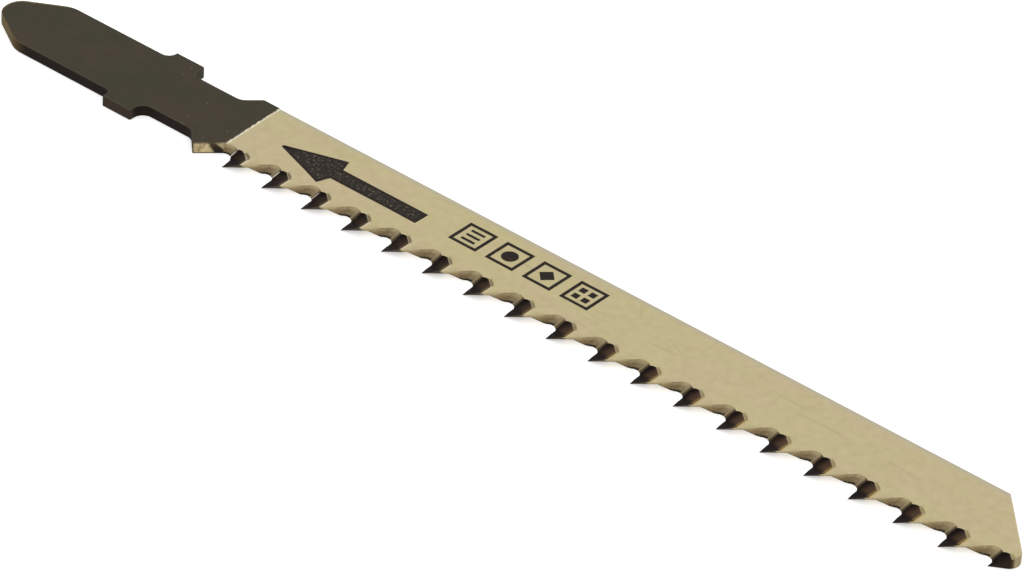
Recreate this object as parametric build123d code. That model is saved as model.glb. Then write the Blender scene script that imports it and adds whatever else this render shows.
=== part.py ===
from build123d import *
from math import radians, sin, tan
import os

# A jigsaw blade with a lugged shank, lying flat, in millimetres.
# X runs from the nose of the tang to the free end, +Y is the smooth back, the teeth point to -Y.
# The origin is on the centre line of the tang, on the underside, level with the front of the lugs.

# Steel strip
thickness = 1.0            # full thickness of the shank
ground_depth = 0.06        # the toothed part is ground this much thinner on its upper face
edge_break = 0.07          # small bevel on the edges that are not cutting edges

# Tang
tang_half = 3.3            # half the width of the tang
nose_x = -17.05            # foremost point of the rounded nose
nose_angle = 31.0          # each side of the nose leans in by this much
nose_radius = 1.65
nose_corner_radius = 2.3   # where the taper runs into the parallel tang

# Lugs
lug_rise = 0.92            # each lug stands out this far from the edge of the tang
lug_length = 2.9
lug_corner = 0.14
lug_half = tang_half + lug_rise

# Neck and shoulders
neck_step = 0.5            # the neck is narrower than the tang by this much on each side
neck_half = tang_half - neck_step
shoulder_x = 5.06          # where the 45 degree shoulders leave the neck
shoulder_fillet = 1.0

# Roots of the lugs: one lug is rounded more towards the tang, the other one towards the neck
tang_fillet = 0.76 * lug_rise
neck_fillet = 0.6 * (lug_rise + neck_step)
root_fillet = 0.55 * lug_rise

# Toothed part
back_y = 4.066             # back edge, at the first tooth
tip_y = -4.0               # line of the tooth points, at the first tooth
narrowing = 0.2            # each side comes in by this much over 18 teeth
heel_x = 6.405             # corner of the heel
heel_y = -4.145
first_tip_x = 9.265
pitch = 4.0
tooth_count = 19
ground_from_x = 8.12       # line where the ground face begins, on the centre line
ground_from_lean = -0.043

# Free end: a slanted cut, a lower edge that rises towards it, and a rounded corner between them
end_back_x = 77.94         # upper corner of the slanted end
end_angle = 43.5           # lean of the slanted end from square
end_rise_angle = 31.8      # rise of the lower edge
end_round = 0.91           # radius of the corner
end_step_x = 80.0          # past this the lower edge is higher
last_tip_rise = 0.87       # the last point stands this much above the first

face_z = thickness - ground_depth
slope = narrowing / (18 * pitch)


def back_at(x):
    return back_y - slope * (x - first_tip_x)


def tips_at(x):
    return tip_y + slope * (x - first_tip_x)


# Outline of the shank: the nose tapers to a round point, the parallel tang carries a lug on each
# side, and the neck opens at 45 degrees into the width of the blade. It is the same turned half a
# turn about the middle of the lugs, apart from which root of each lug is rounded.
apex_x = nose_x + nose_radius - nose_radius / sin(radians(nose_angle))
taper_end_x = apex_x + tang_half / tan(radians(nose_angle))
back_shoulder_x = shoulder_x + back_at(shoulder_x) - neck_half

join_top_x = ground_from_x + ground_from_lean * back_at(ground_from_x)
join_low_x = ground_from_x + ground_from_lean * heel_y
shank_points = [
    (apex_x, 0),
    (taper_end_x, tang_half),
    (-lug_length, tang_half),
    (-lug_length, lug_half),
    (0, lug_half),
    (0, neck_half),
    (shoulder_x, neck_half),
    (back_shoulder_x, back_at(back_shoulder_x)),
    (join_top_x, back_at(join_top_x)),
    (join_low_x, heel_y),
    (heel_x, heel_y),
    (shoulder_x, -neck_half),
    (0, -neck_half),
    (0, -lug_half),
    (-lug_length, -lug_half),
    (-lug_length, -tang_half),
    (taper_end_x, -tang_half),
]
shank_face = make_face(Polyline(*shank_points, close=True))


def corner(face, x, y):
    return face.vertices().sort_by_distance((x, y, 0))[0]


def rounded(face, x, y, radius):
    return fillet(corner(face, x, y), radius)


shank_face = rounded(shank_face, apex_x, 0, nose_radius)
for side in (1, -1):
    shank_face = rounded(shank_face, taper_end_x, side * tang_half, nose_corner_radius)
    shank_face = rounded(shank_face, -lug_length, side * lug_half, lug_corner * 0.6)
    shank_face = rounded(shank_face, 0, side * lug_half, lug_corner)
    shank_face = rounded(shank_face, shoulder_x, side * neck_half, shoulder_fillet)
shank_face = rounded(shank_face, -lug_length, tang_half, tang_fillet)
shank_face = rounded(shank_face, -lug_length, -tang_half, root_fillet)
shank_face = rounded(shank_face, 0, neck_half, root_fillet)
shank_face = rounded(shank_face, 0, -neck_half, neck_fillet)
shank = extrude(shank_face, thickness)


def dull_edges(body, top, keep):
    # the edges in the upper and the lower face that pass the test
    found = []
    for edge in body.edges():
        middle = edge @ 0.5
        flat = edge.bounding_box().size.Z < 1e-4
        if flat and min(abs(middle.Z), abs(middle.Z - top)) < 1e-4 and keep(middle.X, middle.Y):
            found.append(edge)
    return found


def shank_keep(x, y):
    return x < join_top_x - 0.2 and not (x > heel_x and y < 0) or y > back_at(x) - 0.01


shank = chamfer(dull_edges(shank, thickness, shank_keep), edge_break)

# Outline of the toothed part, before the teeth are cut. The back edge and the row of points close
# in slightly towards the free end, which is cut off at a slant. The lower edge rises to meet it.
end_back_y = back_at(end_back_x)
last_tip_x = first_tip_x + (tooth_count - 1) * pitch
last_tip_y = tip_y + last_tip_rise
end_run = tan(radians(end_angle))
end_rise = tan(radians(end_rise_angle))
end_fall = end_back_y - last_tip_y - end_rise * (end_back_x - last_tip_x)
end_x = end_back_x + end_run * end_fall / (1 + end_run * end_rise)
end_y = last_tip_y + end_rise * (end_x - last_tip_x)
toothed_points = [
    (end_back_x, end_back_y),
    (end_x, end_y),
    (last_tip_x, last_tip_y),
    (end_step_x, last_tip_y),
    (end_step_x, tips_at(end_step_x)),
    (first_tip_x, tips_at(first_tip_x)),
    (first_tip_x, heel_y),
    (join_low_x, heel_y),
    (join_top_x, back_at(join_top_x)),
]
toothed_face = make_face(Polyline(*toothed_points, close=True))
toothed_face = rounded(toothed_face, end_x, end_y, end_round)
toothed = extrude(toothed_face, face_z)


def toothed_keep(x, y):
    return y > back_at(x) - 0.01 or x > last_tip_x + 0.4 and y > last_tip_y + 0.1


toothed = chamfer(dull_edges(toothed, face_z, toothed_keep), edge_break)
blank = shank + toothed


# Each gullet has an outline on the ground face and one on the underside, joined by straight rulings.
# A cutter carries both outlines on past the faces so that it cuts right through.
def level(low, high, z):
    return [
        (a[0] + (b[0] - a[0]) * z / face_z, a[1] + (b[1] - a[1]) * z / face_z)
        for a, b in zip(low, high)
    ]


def outline(points, arc_at, z):
    # the point numbered arc_at is the middle of an arc from the point before it to the one after
    parts = []
    count = len(points)
    n = 0
    while n < count:
        a = points[n]
        b = points[(n + 1) % count]
        if (n + 1) % count == arc_at:
            c = points[(n + 2) % count]
            parts.append(ThreePointArc(a, b, c))
            n += 2
        else:
            parts.append(Line(a, b))
            n += 1
    return Plane.XY.offset(z) * make_face(Wire(parts))


def cutter(low, high, arc_at, z_low=-0.3, z_high=1.35):
    sections = [outline(level(low, high, z), arc_at, z) for z in (z_low, z_high)]
    return loft(sections, ruled=True)


# The round gullet, measured from the point of its tooth on the underside. The gullets close in only
# half as much as the points do, so that they are a little shallower towards the free end.
gullet_low = [(0.40, -0.94), (2.84, 1.58), (3.42, 1.74), (3.87, 1.37), (3.90, 0.80), (3.90, -0.94)]
gullet_high = [(0.96, -0.59), (3.40, 1.95), (3.98, 2.08), (4.50, 1.76), (4.58, 1.20), (4.62, -0.59)]

# The slanting grind that makes the relief of one tooth and the wide rake face of the next
grind_low = [(-0.50, -0.465), (1.50, 1.395), (2.62, 1.48), (3.10, 1.60), (3.50, 1.62), (3.83, 1.25),
             (4.00, 0.00), (4.04, -0.44)]
grind_high = [(1.21, -0.25), (3.16, 1.47), (4.30, 1.62), (4.60, 1.90), (4.90, 1.92), (5.69, 1.24),
              (5.71, 0.19), (5.75, -0.25)]

# A shallow flat where the grind breaks out at the ground face
flare_low = [(4.75, 1.45), (4.88, 1.80), (5.22, 1.73), (5.50, 1.42), (5.40, 1.28), (5.10, 1.15)]
flare_high = [(4.70, 1.55), (4.86, 2.00), (5.38, 1.87), (5.74, 1.48), (5.69, 1.30), (5.20, 1.15)]


def flare_tool(low, high):
    bottom = face_z - 0.10
    top = face_z + 0.10
    upper = [(2 * h[0] - a[0], 2 * h[1] - a[1]) for a, h in zip(low, high)]
    return loft([outline(low, 2, bottom), outline(upper, 2, top)], ruled=True)


gullet_tool = cutter(gullet_low, gullet_high, 2)
grind_tool = cutter(grind_low, grind_high, 3)
flare = flare_tool(flare_low, flare_high)

cuts = []
for tooth in range(tooth_count - 1):
    x = first_tip_x + pitch * tooth
    cuts.append(Pos(x, 0.5 * (tip_y + tips_at(x)), 0) * gullet_tool)
    cuts += [Pos(x, tips_at(x), 0) * tool for tool in (grind_tool, flare)]

# The first gullet is wider and shallower, and starts at the 45 degree face of the heel. It is
# measured from the first tooth's point.
heel_gullet_low = [(-3.265, -0.55), (-1.215, 1.50), (-0.815, 1.64), (-0.345, 1.42), (-0.275, 0.80),
                   (-0.265, -0.55)]
heel_gullet_high = [(-3.315, -0.67), (-1.065, 1.58), (-0.445, 1.76), (0.185, 1.60), (0.295, 1.10),
                    (0.335, -0.67)]
heel_grind_low = [(-0.765, -0.40), (-0.765, 1.05), (-0.60, 1.28), (-0.45, 1.37), (-0.32, 1.36),
                  (-0.16, 1.12), (0.00, 0.00), (0.055, -0.40)]
heel_grind_high = [(-0.065, -0.40), (-0.065, 1.25), (0.10, 1.45), (0.32, 1.68), (0.62, 1.71),
                   (1.62, 1.04), (1.71, 0.19), (1.775, -0.40)]
heel_drop = 0.22           # the first grind is this much shallower than the others

first_place = Pos(first_tip_x, tip_y, 0)
cuts.append(first_place * cutter(heel_gullet_low, heel_gullet_high, 2))
cuts.append(first_place * cutter(heel_grind_low, heel_grind_high, 3))
cuts.append(Pos(first_tip_x - pitch, tip_y - heel_drop, 0) * flare)

blade = blank
for tool in cuts:
    blade = blade - tool

os.makedirs("parts", exist_ok=True)
solid = blade.solids().sort_by(SortBy.VOLUME)[-1]
print("solids", len(blade.solids()), "volume", round(solid.volume, 2), "valid", solid.is_valid)
export_step(solid, "parts/blade.step")
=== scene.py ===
from math import cos, radians, sin

import bpy
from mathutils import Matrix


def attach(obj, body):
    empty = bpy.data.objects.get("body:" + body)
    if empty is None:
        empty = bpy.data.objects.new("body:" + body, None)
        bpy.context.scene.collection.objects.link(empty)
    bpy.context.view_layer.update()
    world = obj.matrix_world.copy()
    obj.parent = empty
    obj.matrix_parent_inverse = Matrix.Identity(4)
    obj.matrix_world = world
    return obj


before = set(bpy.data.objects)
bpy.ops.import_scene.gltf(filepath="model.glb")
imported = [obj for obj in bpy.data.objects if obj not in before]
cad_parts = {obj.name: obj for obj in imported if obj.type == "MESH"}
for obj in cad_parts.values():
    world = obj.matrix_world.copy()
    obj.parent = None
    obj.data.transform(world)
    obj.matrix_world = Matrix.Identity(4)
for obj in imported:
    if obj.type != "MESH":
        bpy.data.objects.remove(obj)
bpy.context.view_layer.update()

bpy.ops.object.select_all(action="DESELECT")

# The view: a long lens half a metre away, low over the tooth side of the blade and near the free
# end, so that the blade runs from the upper left to the lower right of the picture.
bpy.ops.object.camera_add(location=(0.277486, -0.307008, 0.272557),
                          rotation=(radians(55.0528), radians(-2.9305), radians(40.372)))
camera = bpy.context.object
camera.name = "camera"
camera.data.sensor_width = 36
camera.data.lens = 226.466
camera.data.clip_start = 0.01
bpy.context.scene.camera = camera


# The blade is one strip of spring steel. It is punched out, blackened all over, then ground bright
# on the toothed part, and each tooth is cut with a slanting grind, which leaves its rake face dark
# with heat tint, over which a dark reflection is painted.
class Shade:
    """One output of a shader node, in the tree of a material. Sums on it add Math nodes."""

    def __init__(self, tree, socket=None):
        self.tree = tree
        self.socket = socket

    def node(self, kind, settings, inputs, output=0):
        """A new node from its type, its settings, and the values or links of its sockets."""
        made = self.tree.nodes.new(kind)
        for name, value in settings.items():
            if name == "stops":
                for n, (place, colour) in enumerate(value):
                    if n > 1:
                        made.color_ramp.elements.new(place)
                    made.color_ramp.elements[n].position = place
                    made.color_ramp.elements[n].color = colour
            else:
                setattr(made, name, value)
        for name, value in inputs.items():
            if isinstance(value, Shade):
                self.tree.links.new(value.socket, made.inputs[name])
            else:
                made.inputs[name].default_value = value
        return Shade(self.tree, made.outputs[output])

    def math(self, operation, *values):
        return self.node("ShaderNodeMath", {"operation": operation}, dict(enumerate(values)))

    def __add__(self, other):
        return self.math("ADD", self, other)

    def __radd__(self, other):
        return self.math("ADD", other, self)

    def __sub__(self, other):
        return self.math("SUBTRACT", self, other)

    def __rsub__(self, other):
        return self.math("SUBTRACT", other, self)

    def __mul__(self, other):
        return self.math("MULTIPLY", self, other)

    def __rmul__(self, other):
        return self.math("MULTIPLY", other, self)

    def __abs__(self):
        return self.math("ABSOLUTE", self)

    def either(self, other):
        """The larger of this and the other."""
        return self.math("MAXIMUM", self, other)

    def rises(self, start, end):
        """0 below start and 1 above end, with a soft step between them."""
        return self.node("ShaderNodeMapRange", {"interpolation_type": "SMOOTHSTEP"},
                         {"Value": self, "From Min": start, "From Max": end})

    def falls(self, start, end):
        """1 below start and 0 above end, with a soft step between them."""
        return 1 - self.rises(start, end)

    def within(self, start, full, fade, end):
        """1 from full to fade, and 0 below start and above end."""
        return self.rises(start, full) * self.falls(fade, end)

    def colour(self, a, b):
        """The colour a where this is 0, and b where it is 1, through a Mix node's colours."""
        return self.node("ShaderNodeMix", {"data_type": "RGBA"}, {0: self, 6: a, 7: b}, 2)

    def xyz(self):
        """The three parts of this vector."""
        split = self.node("ShaderNodeSeparateXYZ", {}, {0: self})
        return [Shade(self.tree, part) for part in split.socket.node.outputs]


def new_material(name):
    """A new material, its shader, and a Shade that makes its other nodes."""
    material = bpy.data.materials.new(name)
    material.use_nodes = True
    shader = material.node_tree.nodes["Principled BSDF"]
    return material, shader, Shade(material.node_tree)


def join(shader, name, value):
    """Let the value drive one socket of the shader."""
    value.tree.links.new(value.socket, shader.inputs[name])


steel, steel_shader, maker = new_material("ground_and_blackened_steel")

# the blade's measures in millimetres, as the solid has them
face_z = 0.94               # height of the ground face
ground_from = 8.12          # the line where the grinding stops, on the middle of the blade
ground_lean = 0.043         # slope of that line
first_tip = 9.265           # the first tooth's point, on the underside
tip_y = -4.0
pitch = 4.0
tooth_count = 19
last_tip = first_tip + (tooth_count - 1) * pitch
narrowing = 0.2 / (last_tip - first_tip)    # slope of the back and of the row of points
end_rise = 0.62             # slope of the lower edge past the last tooth
nose_middle = -15.4         # middle of the round of the nose
nose_lean = radians(31)     # lean of the two sides of the nose

# places in millimetres, x along the blade and y towards its back
place = maker.node("ShaderNodeTexCoord", {}, {}, "Object")
mm = maker.node("ShaderNodeVectorMath", {"operation": "SCALE"}, {0: place, "Scale": 1000.0})
x, y, z = mm.xyz()
flat_place = maker.node("ShaderNodeCombineXYZ", {}, {0: x, 1: y})
nx, ny, nz = maker.node("ShaderNodeTexCoord", {}, {}, "Normal").xyz()
facing_up = nz.rises(0.1, 0.3)
below_face = z.falls(0.925, 0.937)

# which tooth a place belongs to, and how far it is along and above that tooth's lower point; slant
# and rise are the same two, taken where the grind's slant of 45 degrees meets the ground face
tooth_start = -0.6
run = (x - (first_tip + tooth_start)) * (1 / pitch)
tooth = run.math("FLOOR", run)
across = (run - tooth) * pitch + tooth_start
up = y - tip_y - (x - first_tip) * narrowing
slant = across - z + face_z
rise = up + z - face_z
chance = maker.node("ShaderNodeTexWhiteNoise", {"noise_dimensions": "1D"}, {"W": tooth + 31.7})
first = x.falls(12.5, 12.6)
far = x.rises(20, 60)

# the bright ground face: faint clouds of warmer and greener steel, fine grinding streaks that run
# along the blade and waver a little, and darker and paler blotches
cloud_map = maker.node("ShaderNodeMapping", {}, {"Vector": mm, "Scale": (0.16, 0.42, 0.42)})
cloud = maker.node("ShaderNodeTexNoise", {},
                   {"Vector": cloud_map, "Scale": 1.0, "Detail": 3.0, "Roughness": 0.6})
waver = maker.node("ShaderNodeTexNoise", {"noise_dimensions": "2D"},
                   {"Vector": cloud_map, "Scale": 0.7})
bent_y = y + (waver - 0.5) * 3.2
streak_at = maker.node("ShaderNodeCombineXYZ", {}, {0: x * 0.11, 1: bent_y * 2.6, 2: z * 0.11})
streak = maker.node("ShaderNodeTexNoise", {},
                    {"Vector": streak_at, "Scale": 1.0, "Detail": 6.0, "Roughness": 0.62})
hair_at = maker.node("ShaderNodeCombineXYZ", {}, {0: x * 0.5, 1: bent_y * 16, 2: z * 0.5})
hair = maker.node("ShaderNodeTexNoise", {}, {"Vector": hair_at, "Scale": 1.0, "Detail": 3.0})
blotch = maker.node("ShaderNodeTexNoise", {},
                    {"Vector": mm, "Scale": 1.3, "Detail": 4.0, "Roughness": 0.65})
bright = cloud.rises(0.36, 0.66).colour((0.530, 0.462, 0.250, 1), (0.542, 0.450, 0.274, 1))
bright = (streak.falls(0.34, 0.50) * 0.18).colour(bright, (0.440, 0.370, 0.200, 1))
bright = (blotch.rises(0.48, 0.66) * 0.45).colour(bright, (0.470, 0.395, 0.215, 1))
bright = (blotch.falls(0.32, 0.46) * 0.30).colour(bright, (0.600, 0.520, 0.300, 1))

# the ground face is greyer along the smooth back
along_back = (y + (x - first_tip) * narrowing).rises(3.40, 3.98)
bright = (along_back * 0.85).colour(bright, (0.465, 0.425, 0.325, 1))

# long shallow scratches, each one a piece of a wide circle: the circle's middle in x and y, its
# radius, where the scratch starts and ends in x, and its width
scratches = [(49.6, -6.2, 6.4, 47.0, 50.6, 0.10), (53.0, 9.5, 9.2, 48.5, 51.3, 0.08),
             (60.0, 22.0, 20.4, 57.5, 62.0, 0.11), (33.0, -19.0, 20.4, 32.0, 37.5, 0.10),
             (72.0, 24.0, 23.4, 69.0, 73.0, 0.10), (63.5, -17.0, 17.9, 60.5, 66.0, 0.09),
             (47.6, 5.0, 3.6, 44.0, 46.2, 0.06), (43.0, 4.6, 3.6, 43.6, 46.4, 0.06),
             (42.5, -8.0, 7.8, 40.6, 44.6, 0.07), (52.5, 12.6, 8.5, 51.2, 54.6, 0.07),
             (41.4, -8.5, 6.0, 39.0, 42.4, 0.07)]
scratched = None
for mid_x, mid_y, radius, start, end, width in scratches:
    away = maker.node("ShaderNodeVectorMath", {"operation": "DISTANCE"},
                      {0: flat_place, 1: (mid_x, mid_y, 0)}, "Value")
    line = abs(away - radius).falls(0, width) * x.within(start, start + 1, end - 1, end)
    scratched = line if scratched is None else scratched.either(line)
bright = (scratched * 0.36).colour(bright, (0.30, 0.25, 0.13, 1))

# each slanting grind breaks out at the ground face in a shallow flat with an olive rim, and leaves
# a pale edge beside the rake face, a painted highlight, which is golden on the far teeth; over and
# past the rim lies a soft painted shadow; beyond is 2.4 on the line where the grind comes out, and
# grows past it
beyond = across * 0.75 + (up + first * 0.33) * 0.89
around = across.within(0.5, 0.7, 1.95, 2.1) * up.rises(0.9, 1.1) * below_face
around = around * y.falls(-1.7, -1.5) * facing_up
rim = beyond.rises(2.42, 2.46) * nz.falls(0.93, 0.97) * around * across.rises(0.85, 1.05)
# a soft painted shadow over and past the olive rim
past_rim_shadow = beyond.within(2.36, 2.44, 2.50, 2.80) * across.within(0.85, 1.15, 1.65, 1.90)
past_rim_shadow = past_rim_shadow * up.rises(1.2, 1.5) * facing_up
# a pale painted highlight beside the rake face
edge = across.within(1.68, 1.72, 1.78, 1.94) * up.within(0.1, 0.3, 1.2, 1.5) * facing_up
low_face = across.rises(1.85, 2.5) * up.falls(0.8, 1.6) * x.rises(9.0, 9.2) * facing_up
pale_highlight_tone = far.colour((0.67, 0.58, 0.42, 1), (0.50, 0.37, 0.155, 1))
rim_tone = far.colour((0.150, 0.122, 0.066, 1), (0.27, 0.205, 0.100, 1))
past_rim_shadow_tone = far.colour((0.200, 0.160, 0.085, 1), (0.33, 0.255, 0.120, 1))
bright = (low_face * 0.4).colour(bright, (0.36, 0.29, 0.155, 1))
bright = around.colour(bright, (0.43, 0.38, 0.25, 1))
bright = (edge * 0.6).colour(bright, pale_highlight_tone)
bright = (rim * 0.85).colour(bright, rim_tone)
bright = (past_rim_shadow * 0.7).colour(bright, past_rim_shadow_tone)

# the walls of the gullets are rough from the wheel, and are painted with light and shade: they go
# from the tone of the ground face to a soft brown painted shadow in their middle and a paler
# painted top further on, with painted shade at the foot ending in a black line along the lower edge
wall_grain = maker.node("ShaderNodeTexNoise", {}, {"Vector": mm, "Scale": 3.0, "Detail": 4.0})
wall_start = 0.7
shade_start = 2.2
shade_length = 2.4
# the wall's tones, painted light and shade across each gullet
wall_tones_with_painted_shade = [
    (0.04, (0.51, 0.415, 0.235, 1)), (0.18, (0.46, 0.37, 0.203, 1)), (0.29, (0.35, 0.27, 0.142, 1)),
    (0.41, (0.245, 0.175, 0.088, 1)), (0.52, (0.205, 0.145, 0.072, 1)),
    (0.65, (0.235, 0.175, 0.092, 1)), (0.75, (0.265, 0.205, 0.112, 1)),
    (0.83, (0.21, 0.17, 0.11, 1)), (0.92, (0.135, 0.105, 0.072, 1)),
    (0.98, (0.06, 0.045, 0.03, 1))]
on_wall = (x - z + (face_z - first_tip - wall_start)) * (1 / pitch)
on_wall = on_wall.math("FRACT", on_wall) * pitch + wall_start
wall = maker.node("ShaderNodeValToRGB", {"stops": wall_tones_with_painted_shade},
                  {0: (on_wall - shade_start) * (1 / shade_length)})
# a paler painted top on the wall
painted_pale_top = z.rises(0.48, 0.80) * on_wall.within(2.9, 3.2, 3.8, 4.25)
wall = painted_pale_top.colour(wall, (0.41, 0.33, 0.18, 1))
# painted shade at the foot of the wall
painted_foot_shade = z.falls(0.08, 0.36) * on_wall.rises(3.1, 3.5)
wall = (painted_foot_shade * 0.6).colour(wall, (0.09, 0.065, 0.035, 1))
pitted = wall_grain.rises(0.42, 0.72) * on_wall.rises(2.6, 3.0)
wall = (pitted * 0.3).colour(wall, (0.12, 0.09, 0.045, 1))
# painted shade: black lines along the lower edge
thin_line = z.falls(0.03, 0.10) * on_wall.within(2.2, 2.6, 3.3, 3.6)
lower_shade_line = z.falls(0.09, 0.24) * on_wall.rises(3.3, 3.6) + thin_line * 0.6
wall = (lower_shade_line * 0.95).colour(wall, (0.012, 0.008, 0.004, 1))

# the relief of each tooth is bright, with painted shade black under its point; a narrow crease is
# painted with shade that darkens from the wall to the rake face, and on the first teeth with a
# painted glint
crease_side = across + first * 0.2 + 0.21 + far * 0.10 - z * 0.755
relief = nz.falls(-0.55, -0.35)
wall = relief.colour(wall, (0.58, 0.48, 0.27, 1))
# painted shade under each point
shade_under_point = relief * (slant + z * 0.5 + far * 0.3).falls(2.10, 2.35)
shade_under_point_tone = far.colour((0.070, 0.049, 0.026, 1), (0.110, 0.075, 0.036, 1))
wall = (shade_under_point * 0.98).colour(wall, shade_under_point_tone)
# painted shade along the crease
crease = crease_side.within(-0.40, -0.25, -0.03, 0.03) * below_face
crease = crease * across.falls(1.0, 1.2) * y.falls(-1.6, -1.5) * (1 - first)
crease_shade_tone = crease_side.rises(-0.36, -0.02).colour((0.31, 0.238, 0.130, 1),
                                                     (0.05, 0.036, 0.022, 1))
wall = crease.colour(wall, crease_shade_tone)
# a painted glint by the crease of the first teeth
glint = crease_side.within(-0.16, -0.11, -0.06, -0.01) * x.falls(15, 20) * z.falls(0.60, 0.80)
wall = (glint * 0.7).colour(wall, (0.95, 0.88, 0.78, 1))

# past the last tooth the lower edge is near black where it faces the front and khaki where it
# turns away, and its round corner is bare
past_last = x.rises(81.0, 81.1)
end_wall = past_last * (y - (x - last_tip) * end_rise).falls(-2.95, -2.85)
corner = x.rises(81.9, 82.0) * y.falls(-1.5, -1.0) * nz.within(-0.9, -0.6, 0.60, 0.95)
end_wall = end_wall.either(corner)
end_tone = ny.rises(-0.65, -0.35).colour((0.022, 0.012, 0.007, 1), (0.34, 0.27, 0.15, 1))
wall = end_wall.colour(wall, end_tone)
is_wall = nz.falls(0.35, 0.6) * ny.falls(-0.30, -0.10) * y.falls(-1.5, -1.4)
is_wall = is_wall.either(crease).either(corner)
shadowed = is_wall * relief.either(lower_shade_line).either(end_wall)

# the rake faces, heat-tinted and painted with a dark reflection: near black below and browner
# above, with a brown edge towards the free end
is_rake = crease_side.rises(-0.03, 0.03) * beyond.falls(2.36, 2.41) * across.falls(2.2, 2.4)
is_rake = is_rake * nz.rises(0.02, 0.15).either(up.rises(1.50, 1.60)) * below_face
is_rake = is_rake * y.falls(-1.6, -1.5) * x.rises(8.6, 8.7) * nz.rises(-0.5, -0.3)
warm = slant.rises(0.6, 1.6) * (0.35 + far * 0.9) + wall_grain * 0.4 + (chance - 0.5) * 0.3 - 0.1
warm = warm * rise.rises(0.25, 0.85) * (1 - rise.rises(1.2, 1.6) * (1 - far) * 0.7)
warm = warm * (1 - x.rises(80.9, 81.1) * 0.9)
# painted dark reflection on the heat-tinted rake face
rake = warm.colour((0.006, 0.003, 0.003, 1), (0.068, 0.037, 0.020, 1))
brown_edge = slant.rises(1.46, 1.60) * rise.rises(0.0, 0.5)
brown_tone = far.colour((0.075, 0.050, 0.022, 1), (0.220, 0.140, 0.042, 1))
rake = brown_edge.colour(rake, brown_tone)
dark = is_rake.either(shadowed)

# the black oxide of the shank: matt olive brown, with a painted highlight on its bevels and painted
# shade on its punched edges, less of it on the open side, with the nose worn to a golden brown on
# one side, and light specks by the lugs
steep = abs(nz)
oxide_cloud = maker.node("ShaderNodeTexNoise", {},
                         {"Vector": mm, "Scale": 0.35, "Detail": 4.0, "Roughness": 0.65})
oxide_grain = maker.node("ShaderNodeTexNoise", {}, {"Vector": mm, "Scale": 7.0, "Detail": 3.0})
oxide = oxide_cloud.rises(0.35, 0.68).colour((0.040, 0.037, 0.021, 1), (0.050, 0.038, 0.023, 1))
oxide = oxide_grain.rises(0.60, 0.80).colour(oxide, (0.070, 0.062, 0.042, 1))
# a painted highlight along the bevels
oxide = (steep.within(0.50, 0.60, 0.80, 0.90) * 0.3).colour(oxide, (0.110, 0.090, 0.060, 1))
# painted shade on the punched edges
punched = steep.falls(0.3, 0.6)
open_side = nx.rises(0.3, 0.8) * y.rises(2.0, 2.5)
punched_edge_shade_tone = open_side.colour((0.010, 0.006, 0.004, 1), (0.046, 0.042, 0.028, 1))
oxide = punched.colour(oxide, punched_edge_shade_tone)
lug_side = punched * y.falls(-4.0, -3.8) * x.within(-3.2, -3.0, 0.05, 0.15)
oxide = (lug_side * 0.5).colour(oxide, (0.060, 0.042, 0.028, 1))
worn_nose = (x + y * 0.9).falls(-17.2, -14.6) * steep.falls(0.86, 0.97)
oxide = (worn_nose * 0.85).colour(oxide, (0.140, 0.092, 0.032, 1))
from_nose = maker.node("ShaderNodeVectorMath", {"operation": "DISTANCE"},
                       {0: flat_place, 1: (nose_middle, 0, 0)}, "Value")
from_axis = y * cos(nose_lean) - x * sin(nose_lean)
straight_rim = from_axis.rises(9.28, 9.54) * x.falls(-12.5, -10.5)
round_rim = from_nose.rises(1.35, 1.60) * x.falls(-15.7, -15.4) * y.rises(-1.1, 0.3)
worn_rim = straight_rim.either(round_rim) * (0.3 + steep.rises(0.3, 0.6) * 0.7)
oxide = (worn_rim * 0.85).colour(oxide, (0.180, 0.132, 0.036, 1))
specks = maker.node("ShaderNodeTexVoronoi", {}, {"Vector": mm, "Scale": 1.1})
chipped = specks.falls(0.06, 0.11) * oxide_cloud.rises(0.50, 0.56) * x.rises(-5.0, -3.0)
oxide = (chipped * 0.45).colour(oxide, (0.190, 0.150, 0.110, 1))

# the line where the grinding stops, square across the blade, and beside it a thin painted highlight
from_line = x - (ground_from - y * ground_lean)
past_line = (from_line + (wall_grain - 0.5) * 0.06).rises(-0.02, 0.02)
# a thin painted highlight beside the line
bright = from_line.falls(0.07, 0.17).colour(bright, (0.95, 0.90, 0.72, 1))

# the slanting wall of the heel is ground too, mottled brown, with a painted dark reflection as one
# stripe across it
heel_wall = nx.rises(0.3, 0.5) * ny.falls(-0.5, -0.3) * x.within(5.5, 5.6, 9.0, 9.1)
# a painted dark reflection across the heel's wall
reflection_stripe = (x + z * 0.35 - 7.63).rises(-0.12, 0.08) * (x + z * 0.71 - 8.36).falls(-0.10, 0.10)
reflection_stripe_tone = z.rises(0.35, 0.85).colour((0.006, 0.003, 0.002, 1), (0.050, 0.026, 0.013, 1))
top_line = z.rises(0.84, 0.90) * x.falls(7.9, 8.1)
heel = wall_grain.rises(0.42, 0.70).colour((0.56, 0.46, 0.25, 1), (0.26, 0.20, 0.105, 1))
heel = (x.rises(7.25, 7.6) * 0.8).colour(heel, (0.40, 0.33, 0.19, 1))
heel = (x.falls(6.42, 6.62) * 0.8).colour(heel, (0.07, 0.045, 0.022, 1))
heel = (reflection_stripe * 0.97).colour(heel, reflection_stripe_tone)
heel = (z.falls(0.05, 0.14) * 0.9).colour(heel, (0.010, 0.006, 0.004, 1))
heel = (top_line * 0.6).colour(heel, (0.10, 0.075, 0.045, 1))

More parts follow.
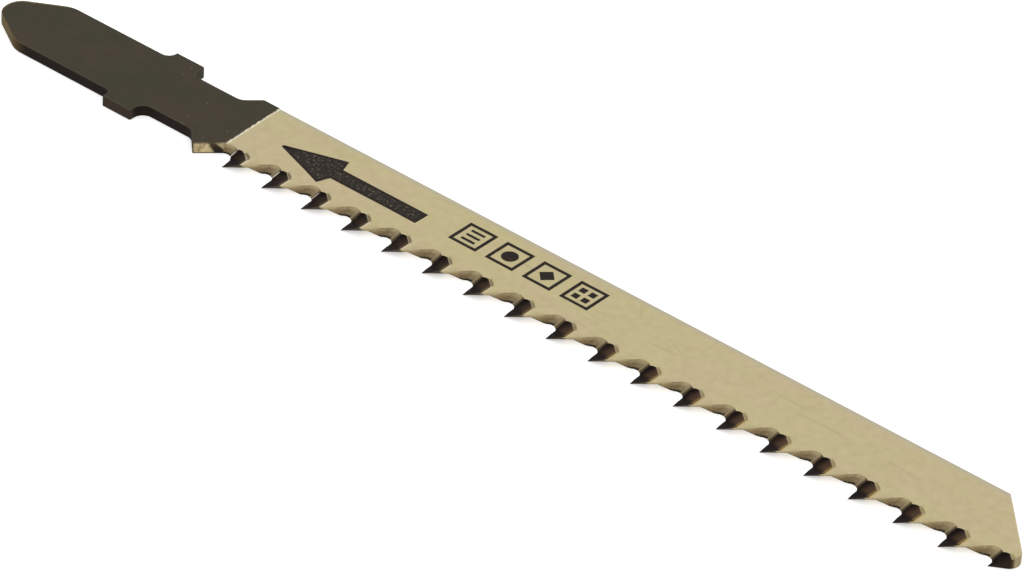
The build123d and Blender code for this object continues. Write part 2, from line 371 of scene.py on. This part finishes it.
ground = past_line.either(heel_wall)
colour = is_wall.colour(bright, wall)
colour = (heel_wall * x.falls(8.0, 8.2)).colour(colour, heel)
colour = is_rake.colour(colour, rake)
colour = ground.colour(oxide, colour)
metal = 0.85 * ground * (1 - dark) * (1 - is_wall * 0.75)
roughness = 0.55 - ground * 0.17 + (streak - 0.5) * 0.2 + dark * 0.25 + is_wall * 0.12
height = (hair * 0.6 + streak) * ground + oxide_grain * (1 - ground) * 1.2
bump = maker.node("ShaderNodeBump", {}, {"Strength": 0.5, "Distance": 0.000012, "Height": height})
join(steel_shader, "Base Color", colour)
join(steel_shader, "Metallic", metal)
join(steel_shader, "Roughness", roughness)
join(steel_shader, "Normal", bump)
steel_shader.inputs["Specular IOR Level"].default_value = 0.1

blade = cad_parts["blade"]
for slot in blade.material_slots:
    slot.material = steel


# The print on the ground face is baked black ink, which stands a few thousandths of a millimetre
# proud of the steel. A broad arrow points the way the blade cuts, and its middle is worn to a
# mottled grey.
ink_top = 0.000944
ink_depth = 0.00001         # the ink's own body, which goes a little way into the steel
tolerance = 0.0001          # how near a point must lie to a place to be chosen there


def new_ink(name, dark_tone, pale_tone):
    ink, ink_shader, maker = new_material(name)
    spot = maker.node("ShaderNodeTexCoord", {}, {}, "Object")
    fleck = maker.node("ShaderNodeTexNoise", {},
                       {"Vector": spot, "Scale": 4200.0, "Detail": 3.0, "Roughness": 0.7})
    join(ink_shader, "Base Color", fleck.rises(0.50, 0.72).colour(dark_tone, pale_tone))
    join(ink_shader, "Roughness", 0.42 + fleck * 0.2)
    ink_shader.inputs["Specular IOR Level"].default_value = 0.1
    return ink


edge_ink = new_ink("print_ink", (0.012, 0.007, 0.005, 1), (0.044, 0.028, 0.018, 1))
worn_ink = new_ink("worn_print_ink", (0.014, 0.010, 0.007, 1), (0.16, 0.13, 0.085, 1))


def choose(mesh, kind, test):
    """Select the edges or the faces of the mesh in edit mode that pass the test, and no other."""
    bpy.ops.mesh.select_mode(type=kind)
    bpy.ops.mesh.select_all(action="DESELECT")
    bpy.ops.object.mode_set(mode="OBJECT")
    if kind == "EDGE":
        for part in mesh.edges:
            part.select = all(test(mesh.vertices[n].co) for n in part.vertices)
    else:
        for part in mesh.polygons:
            part.select = test(part.center)
    bpy.ops.object.mode_set(mode="EDIT")


def finish_ink(piece, name, border, raggedness):
    """Give a flat outline a worn middle inside any border, a ragged edge and its thickness."""
    bpy.ops.mesh.select_mode(type="FACE")
    bpy.ops.mesh.select_all(action="SELECT")
    piece.data.materials.append(edge_ink)
    piece.data.materials.append(worn_ink)
    if border:
        bpy.ops.mesh.inset(thickness=border, depth=0)
        piece.active_material_index = 1
        bpy.ops.object.material_slot_assign()
        bpy.ops.mesh.select_all(action="SELECT")
    bpy.ops.mesh.subdivide(number_cuts=2)
    bpy.ops.transform.vertex_random(offset=raggedness, uniform=0.1, normal=0.0, seed=4)
    bpy.ops.transform.resize(value=(1, 1, 0))
    bpy.ops.mesh.extrude_region_move(TRANSFORM_OT_translate={"value": (0, 0, -ink_depth)})
    bpy.ops.mesh.select_all(action="SELECT")
    bpy.ops.mesh.normals_make_consistent(inside=False)
    bpy.ops.object.mode_set(mode="OBJECT")
    top = max(v.co.z for v in piece.data.vertices)
    for v in piece.data.vertices:
        v.co.z += ink_top - top
    piece.name = name
    piece.data.name = name
    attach(piece, "root")
    piece.select_set(False)


# the arrow's shaft, then its two barbs, then its point
shaft_start = 0.0255
shaft_end = 0.0170
shaft_width = 0.0015
arrow_y = 0.0004
barb_run = 0.0004           # the barbs lean back by this much
head_spread = 2.5           # width over the barbs, as a multiple of the shaft's
head_length = 0.0051
blunt_point = 0.06          # width left at the point, as a share of the barbs'
arrow_border = 0.00026
arrow_raggedness = 0.00003
bpy.ops.mesh.primitive_plane_add(size=1)
arrow = bpy.context.object
bpy.ops.object.mode_set(mode="EDIT")
bpy.ops.transform.resize(value=(shaft_start - shaft_end, shaft_width, 1))
bpy.ops.transform.translate(value=((shaft_start + shaft_end) / 2, arrow_y, ink_top))
choose(arrow.data, "EDGE", lambda place: place.x < shaft_end + tolerance)
bpy.ops.mesh.extrude_region_move(TRANSFORM_OT_translate={"value": (-barb_run, 0, 0)})
bpy.ops.transform.resize(value=(1, head_spread, 1))
bpy.ops.mesh.extrude_region_move(TRANSFORM_OT_translate={"value": (-head_length, 0, 0)})
bpy.ops.transform.resize(value=(1, blunt_point, 1))
finish_ink(arrow, "print_arrow", arrow_border, arrow_raggedness)


# Four small square signs follow the arrow in the same ink, each a frame with a plain figure in it:
# bars, a disc, a diamond and a window. They are printed solid, with strokes a third of a millimetre
# wide. The frame is drawn once, and each of the next three is a copy of the one before.
sign_size = 0.0027
sign_stroke = 0.0003
sign_pitch = 0.0036
sign_x = 0.0298
sign_y = 0.0013
sign_raggedness = 0.00002

bpy.ops.mesh.primitive_plane_add(size=sign_size, location=(0, 0, 0))
signs = [bpy.context.object]
bpy.ops.object.mode_set(mode="EDIT")
bpy.ops.transform.translate(value=(sign_x, sign_y, ink_top))
bpy.ops.mesh.inset(thickness=sign_stroke, depth=0)
choose(signs[0].data, "FACE", lambda place: abs(place.x - sign_x) < tolerance
       and abs(place.y - sign_y) < tolerance)
bpy.ops.mesh.delete(type="ONLY_FACE")
bpy.ops.object.mode_set(mode="OBJECT")
for n in range(3):
    bpy.ops.object.duplicate()
    signs.append(bpy.context.object)
    bpy.ops.object.mode_set(mode="EDIT")
    bpy.ops.mesh.select_all(action="SELECT")
    bpy.ops.transform.translate(value=(sign_pitch, 0, 0))
    bpy.ops.object.mode_set(mode="OBJECT")
bars, disc, diamond, window = signs


def open_sign(sign):
    bpy.ops.object.select_all(action="DESELECT")
    sign.select_set(True)
    bpy.context.view_layer.objects.active = sign
    bpy.ops.object.mode_set(mode="EDIT")
    bpy.ops.mesh.select_all(action="DESELECT")


def add_bar(middle_x, middle_y, length, width, turn=0.0):
    bpy.ops.mesh.primitive_plane_add(size=1, location=(0, 0, 0))
    bpy.ops.transform.resize(value=(length, width, 1))
    bpy.ops.transform.rotate(value=turn, orient_axis="Z", center_override=(0, 0, 0))
    bpy.ops.transform.translate(value=(middle_x, middle_y, ink_top))


open_sign(bars)
bar_gap = 0.0006
bar_length = 0.0013
bar_width = 0.00026
add_bar(sign_x, sign_y - bar_gap, bar_length, bar_width)
for n in range(2):
    bpy.ops.mesh.duplicate_move(TRANSFORM_OT_translate={"value": (0, bar_gap, 0)})
finish_ink(bars, "print_bars", 0, sign_raggedness)

open_sign(disc)
disc_radius = 0.00068
bpy.ops.mesh.primitive_circle_add(vertices=20, radius=disc_radius, fill_type="TRIFAN",
                                  location=(sign_x + sign_pitch, sign_y, ink_top))
finish_ink(disc, "print_disc", 0, sign_raggedness)

open_sign(diamond)
diamond_side = 0.00105
add_bar(sign_x + 2 * sign_pitch, sign_y, diamond_side, diamond_side, radians(45))
finish_ink(diamond, "print_diamond", 0, sign_raggedness)

open_sign(window)
pane = 0.00058
pane_gap = 0.0009
add_bar(sign_x + 3 * sign_pitch - pane_gap / 2, sign_y - pane_gap / 2, pane, pane)
for move in ((pane_gap, 0, 0), (0, pane_gap, 0), (-pane_gap, 0, 0)):
    bpy.ops.mesh.duplicate_move(TRANSFORM_OT_translate={"value": move})
finish_ink(window, "print_window", 0, sign_raggedness)


# Plain soft studio light on a white table: the sky is a pale tent, and one wide lamp stands in
# front of the teeth, beside the camera, so that the walls of the gullets are lit. The table and the
# tent show a little whiter than they are lit, and so does their reflection in the steel.
def in_sight(shade):
    """1 for what the camera sees straight, mirrored or through glass, and 0 for other light."""
    straight, mirrored, through = [
        shade.node("ShaderNodeLightPath", {}, {}, ray)
        for ray in ("Is Camera Ray", "Is Glossy Ray", "Is Transmission Ray")]
    return straight.either(mirrored).either(through)


bpy.ops.mesh.primitive_plane_add(size=4, location=(0.03, 0, 0))
floor = bpy.context.object
floor.name = "floor"
table, table_shader, table_maker = new_material("white_table")
table_shader.inputs["Base Color"].default_value = (0.86, 0.86, 0.86, 1)
table_shader.inputs["Roughness"].default_value = 0.9
table_shader.inputs["Specular IOR Level"].default_value = 0.1
table_glow = in_sight(table_maker).colour((0, 0, 0, 1), (0.40, 0.40, 0.40, 1))
join(table_shader, "Emission Color", table_glow)
table_shader.inputs["Emission Strength"].default_value = 1.0
floor.data.materials.append(table)

world = bpy.data.worlds.new("tent")
bpy.context.scene.world = world
world.use_nodes = True
background = world.node_tree.nodes["Background"]
tent_tone = in_sight(Shade(world.node_tree)).colour((0.80, 0.80, 0.80, 1), (1, 1, 1, 1))
join(background, "Color", tent_tone)
background.inputs["Strength"].default_value = 1.0

bpy.ops.object.light_add(type="AREA", location=(0.45, -0.45, 0.70))
lamp = bpy.context.object
lamp.name = "soft_lamp"
lamp.data.shape = "DISK"
lamp.data.size = 0.8
lamp.data.energy = 2.8
lamp.rotation_euler = (radians(42), 0, radians(43))

bpy.context.scene.view_settings.view_transform = "Standard"
